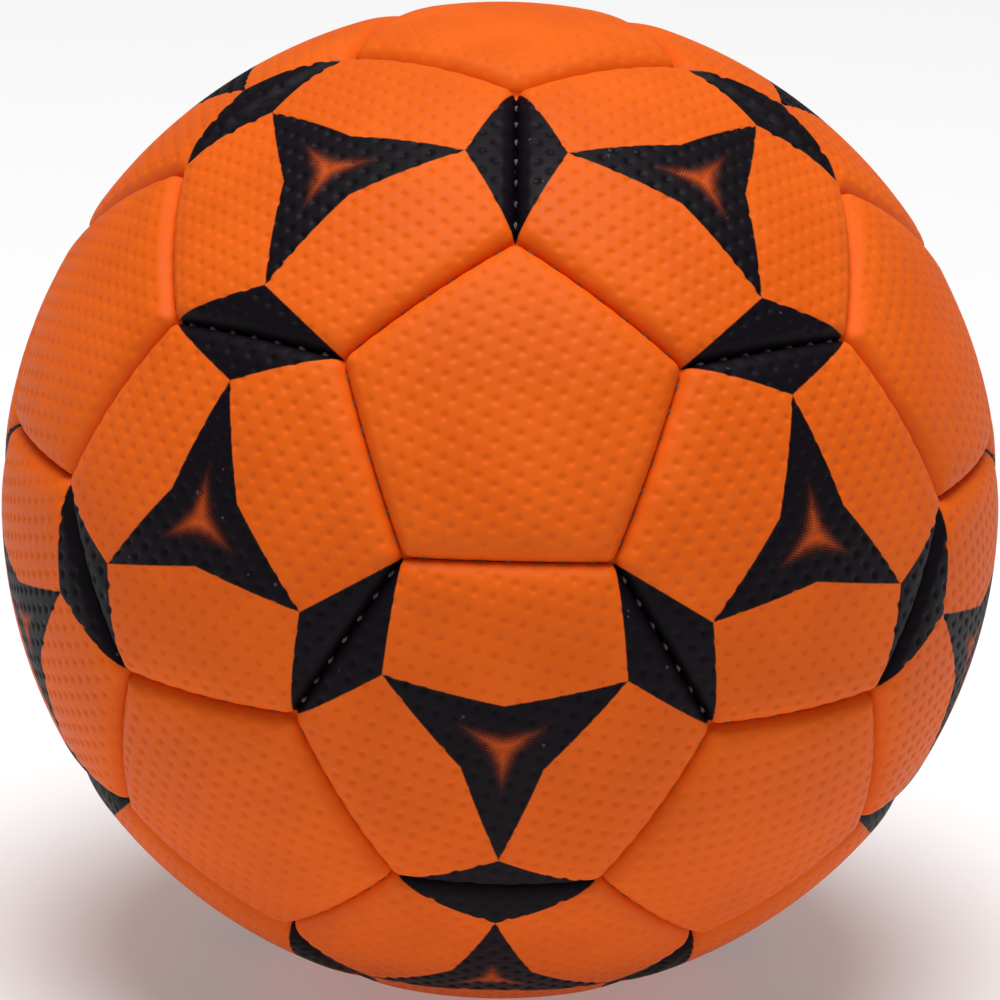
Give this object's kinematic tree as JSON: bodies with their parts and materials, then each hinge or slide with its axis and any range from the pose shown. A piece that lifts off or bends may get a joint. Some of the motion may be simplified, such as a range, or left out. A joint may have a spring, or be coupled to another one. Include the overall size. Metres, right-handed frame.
{
  "type": "handball",
  "caption": "Hand-stitched handball of pentagon and hexagon synthetic-leather panels over foam, cloth lining, rubber bladder and a replaceable valve core.",
  "frame": {"origin": "centre of the ball", "axes": "+Z through the middle of the top pentagon, the five-fold axis of the panel pattern; -Y towards the front pentagon, which stands above the equator; the valve is in the pentagon opposite to that one"},
  "size_m": [0.1878, 0.1878, 0.1878],
  "materials": {
    "pentagon_skin": "matt orange synthetic leather, dimpled",
    "hexagon_skin": "matt orange synthetic leather, dimpled, with black geometric print",
    "thread": "waxed polyester thread, off-white",
    "foam": "soft closed-cell foam, pale",
    "lining_cloth": "layered woven cotton and polyester, glued",
    "bladder_rubber": "smooth latex, satin",
    "valve_rubber": "moulded butyl rubber, satin"
  },
  "bodies": {
    "ball": {"bladder": "bladder_rubber", "hexagon_foam_pads": "foam", "hexagon_linings": "lining_cloth", "hexagon_panel_01": "hexagon_skin", "hexagon_panel_02": "hexagon_skin", "hexagon_panel_03": "hexagon_skin", "hexagon_panel_04": "hexagon_skin", "hexagon_panel_05": "hexagon_skin", "hexagon_panel_06": "hexagon_skin", "hexagon_panel_07": "hexagon_skin", "hexagon_panel_08": "hexagon_skin", "hexagon_panel_09": "hexagon_skin", "hexagon_panel_10": "hexagon_skin", "hexagon_panel_11": "hexagon_skin", "hexagon_panel_12": "hexagon_skin", "hexagon_panel_13": "hexagon_skin", "hexagon_panel_14": "hexagon_skin", "hexagon_panel_15": "hexagon_skin", "hexagon_panel_16": "hexagon_skin", "hexagon_panel_17": "hexagon_skin", "hexagon_panel_18": "hexagon_skin", "hexagon_panel_19": "hexagon_skin", "hexagon_panel_20": "hexagon_skin", "hexagon_stitching_bottom": "thread", "hexagon_stitching_lower": "thread", "hexagon_stitching_middle": "thread", "hexagon_stitching_top": "thread", "hexagon_stitching_upper": "thread", "pentagon_foam_pads": "foam", "pentagon_linings": "lining_cloth", "pentagon_panel_01": "pentagon_skin", "pentagon_panel_02": "pentagon_skin", "pentagon_panel_03": "pentagon_skin", "pentagon_panel_04": "pentagon_skin", "pentagon_panel_05": "pentagon_skin", "pentagon_panel_06": "pentagon_skin", "pentagon_panel_07": "pentagon_skin", "pentagon_panel_08": "pentagon_skin", "pentagon_panel_09": "pentagon_skin", "pentagon_panel_10": "pentagon_skin", "pentagon_panel_11": "pentagon_skin", "pentagon_stitching_01": "thread", "pentagon_stitching_02": "thread", "pentagon_stitching_03": "thread", "pentagon_stitching_04": "thread", "pentagon_stitching_05": "thread", "pentagon_stitching_06": "thread", "pentagon_stitching_07": "thread", "pentagon_stitching_08": "thread", "pentagon_stitching_09": "thread", "pentagon_stitching_10": "thread", "pentagon_stitching_11": "thread", "pentagon_stitching_12": "thread", "valve_boot": "valve_rubber", "valve_panel": "pentagon_skin"},
    "valve_core": {"valve_core": "valve_rubber"}
  },
  "joints": [
    {"name": "valve_core_pull", "type": "slide", "parent": "ball", "child": "valve_core", "axis": [0, 0.8944, -0.4472], "range_m": [0, 0.024]}
  ]
}
